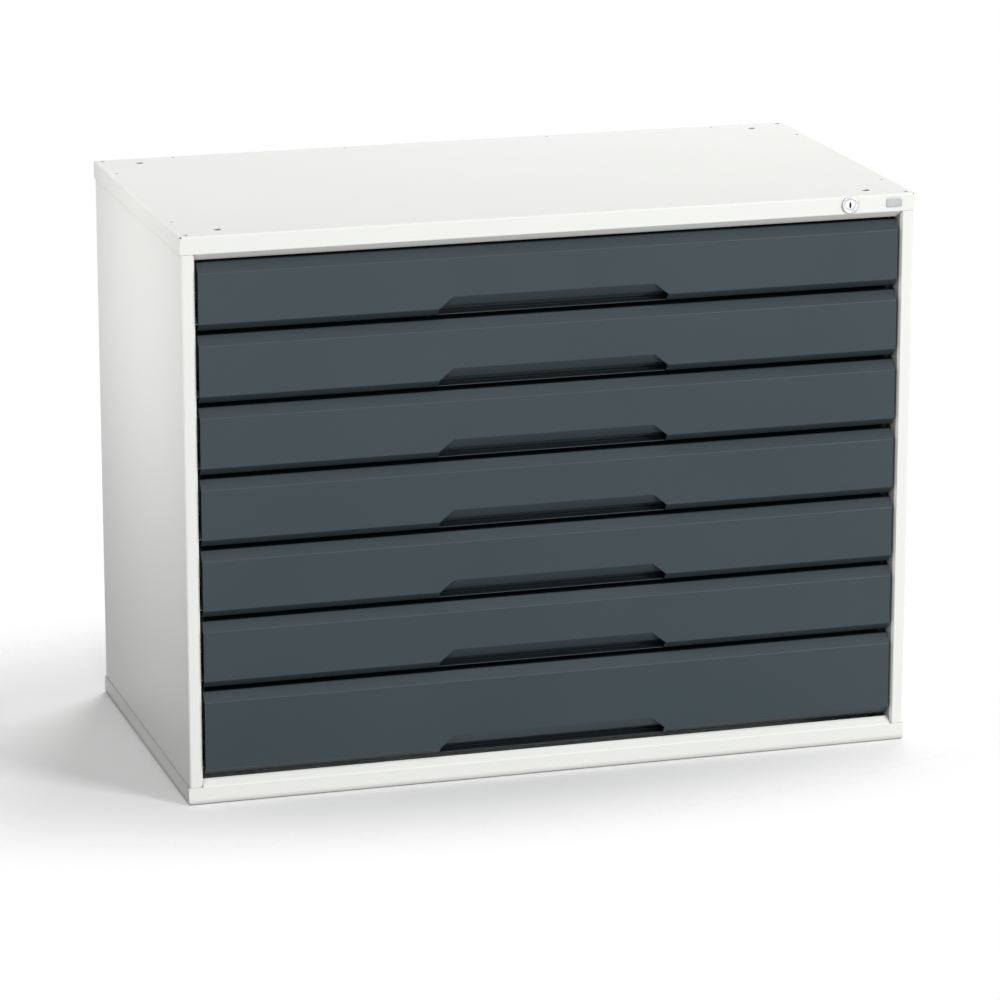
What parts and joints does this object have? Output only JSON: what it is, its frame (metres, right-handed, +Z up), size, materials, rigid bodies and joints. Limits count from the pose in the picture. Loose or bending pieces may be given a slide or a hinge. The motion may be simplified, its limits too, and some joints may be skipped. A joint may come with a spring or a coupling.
{
  "type": "workshop drawer cabinet",
  "caption": "Free-standing steel drawer cabinet with full-width sheet-metal drawers on full-extension runners and a central cam lock.",
  "frame": {"origin": "on the floor, under the middle of the cabinet", "axes": "+Z up, front and drawers face -Y, +X to the right of someone facing the drawers' backs; the width runs along X"},
  "size_m": [1.05, 0.552, 0.8],
  "materials": {
    "white_coat": "off-white powder coat, fine texture, semi-matte",
    "grey_coat": "dark blue-grey powder coat, fine texture, semi-matte",
    "drawer_coat": "light grey powder coat",
    "zinc_steel": "zinc plated sheet steel",
    "runner_steel": "bright zinc plated rolled steel",
    "rivet_steel": "plain steel blind rivet heads",
    "lock_chrome": "polished chrome plate",
    "lock_plug": "satin nickel plug with keyway"
  },
  "bodies": {
    "housing": {"left_side_panel": "white_coat", "right_side_panel": "white_coat", "top_panel": "white_coat", "base_panel": "white_coat", "back_panel": "white_coat", "back_rivets": "rivet_steel", "left_posts": "zinc_steel", "right_posts": "zinc_steel", "left_cabinet_runners": "runner_steel", "right_cabinet_runners": "runner_steel", "lock_body": "lock_chrome", "lock_nut": "zinc_steel", "lock_plate_clips": "zinc_steel", "lock_bar_guides": "zinc_steel"},
    "lock_barrel": {"lock_plug": "lock_plug", "lock_cam": "zinc_steel"},
    "lock_plate": {"lock_transfer_plate": "zinc_steel"},
    "lock_lift_bar": {"lock_bar": "zinc_steel", "lock_bar_head": "zinc_steel", "lock_bar_tabs": "zinc_steel"},
    "drawer_1": {"drawer_1_front": "grey_coat", "drawer_1_body": "drawer_coat", "drawer_1_runners": "runner_steel", "drawer_1_catch": "zinc_steel"},
    "drawer_1_middle": {"drawer_1_middle_runners": "runner_steel"},
    "drawer_2": {"drawer_2_front": "grey_coat", "drawer_2_body": "drawer_coat", "drawer_2_runners": "runner_steel", "drawer_2_catch": "zinc_steel"},
    "drawer_2_middle": {"drawer_2_middle_runners": "runner_steel"},
    "drawer_3": {"drawer_3_front": "grey_coat", "drawer_3_body": "drawer_coat", "drawer_3_runners": "runner_steel", "drawer_3_catch": "zinc_steel"},
    "drawer_3_middle": {"drawer_3_middle_runners": "runner_steel"},
    "drawer_4": {"drawer_4_front": "grey_coat", "drawer_4_body": "drawer_coat", "drawer_4_runners": "runner_steel", "drawer_4_catch": "zinc_steel"},
    "drawer_4_middle": {"drawer_4_middle_runners": "runner_steel"},
    "drawer_5": {"drawer_5_front": "grey_coat", "drawer_5_body": "drawer_coat", "drawer_5_runners": "runner_steel", "drawer_5_catch": "zinc_steel"},
    "drawer_5_middle": {"drawer_5_middle_runners": "runner_steel"},
    "drawer_6": {"drawer_6_front": "grey_coat", "drawer_6_body": "drawer_coat", "drawer_6_runners": "runner_steel", "drawer_6_catch": "zinc_steel"},
    "drawer_6_middle": {"drawer_6_middle_runners": "runner_steel"},
    "drawer_7": {"drawer_7_front": "grey_coat", "drawer_7_body": "drawer_coat", "drawer_7_runners": "runner_steel", "drawer_7_catch": "zinc_steel"},
    "drawer_7_middle": {"drawer_7_middle_runners": "runner_steel"}
  },
  "joints": [
    {"name": "drawer_1_slide", "type": "slide", "parent": "housing", "child": "drawer_1", "axis": [0, -1, 0], "range_m": [0, 0.5]},
    {"name": "drawer_1_middle_slide", "type": "slide", "parent": "housing", "child": "drawer_1_middle", "axis": [0, -1, 0], "range_m": [0, 0.25]},
    {"name": "drawer_2_slide", "type": "slide", "parent": "housing", "child": "drawer_2", "axis": [0, -1, 0], "range_m": [0, 0.5]},
    {"name": "drawer_2_middle_slide", "type": "slide", "parent": "housing", "child": "drawer_2_middle", "axis": [0, -1, 0], "range_m": [0, 0.25]},
    {"name": "drawer_3_slide", "type": "slide", "parent": "housing", "child": "drawer_3", "axis": [0, -1, 0], "range_m": [0, 0.5]},
    {"name": "drawer_3_middle_slide", "type": "slide", "parent": "housing", "child": "drawer_3_middle", "axis": [0, -1, 0], "range_m": [0, 0.25]},
    {"name": "drawer_4_slide", "type": "slide", "parent": "housing", "child": "drawer_4", "axis": [0, -1, 0], "range_m": [0, 0.5]},
    {"name": "drawer_4_middle_slide", "type": "slide", "parent": "housing", "child": "drawer_4_middle", "axis": [0, -1, 0], "range_m": [0, 0.25]},
    {"name": "drawer_5_slide", "type": "slide", "parent": "housing", "child": "drawer_5", "axis": [0, -1, 0], "range_m": [0, 0.5]},
    {"name": "drawer_5_middle_slide", "type": "slide", "parent": "housing", "child": "drawer_5_middle", "axis": [0, -1, 0], "range_m": [0, 0.25]},
    {"name": "drawer_6_slide", "type": "slide", "parent": "housing", "child": "drawer_6", "axis": [0, -1, 0], "range_m": [0, 0.5]},
    {"name": "drawer_6_middle_slide", "type": "slide", "parent": "housing", "child": "drawer_6_middle", "axis": [0, -1, 0], "range_m": [0, 0.25]},
    {"name": "drawer_7_slide", "type": "slide", "parent": "housing", "child": "drawer_7", "axis": [0, -1, 0], "range_m": [0, 0.5]},
    {"name": "drawer_7_middle_slide", "type": "slide", "parent": "housing", "child": "drawer_7_middle", "axis": [0, -1, 0], "range_m": [0, 0.25]},
    {"name": "lock_turn", "type": "hinge", "parent": "housing", "child": "lock_barrel", "pos_m": [0.429, -0.275, 0.7875], "axis": [0, 1, 0], "range_deg": [0, 90.01]},
    {"name": "lock_plate_slide", "type": "slide", "parent": "housing", "child": "lock_plate", "axis": [-1, 0, 0], "range_m": [0, 0.01201]},
    {"name": "lock_bar_lift", "type": "slide", "parent": "housing", "child": "lock_lift_bar", "axis": [0, 0, 1], "range_m": [0, 0.012]}
  ],
  "couplings": [
    {"joint": "drawer_1_middle_slide", "follows": "drawer_1_slide", "ratio": 0.5},
    {"joint": "drawer_2_middle_slide", "follows": "drawer_2_slide", "ratio": 0.5},
    {"joint": "drawer_3_middle_slide", "follows": "drawer_3_slide", "ratio": 0.5},
    {"joint": "drawer_4_middle_slide", "follows": "drawer_4_slide", "ratio": 0.5},
    {"joint": "drawer_5_middle_slide", "follows": "drawer_5_slide", "ratio": 0.5},
    {"joint": "drawer_6_middle_slide", "follows": "drawer_6_slide", "ratio": 0.5},
    {"joint": "drawer_7_middle_slide", "follows": "drawer_7_slide", "ratio": 0.5},
    {"joint": "lock_turn", "follows": "lock_bar_lift", "rad_per_m": 130.9},
    {"joint": "lock_plate_slide", "follows": "lock_bar_lift", "ratio": 1}
  ]
}
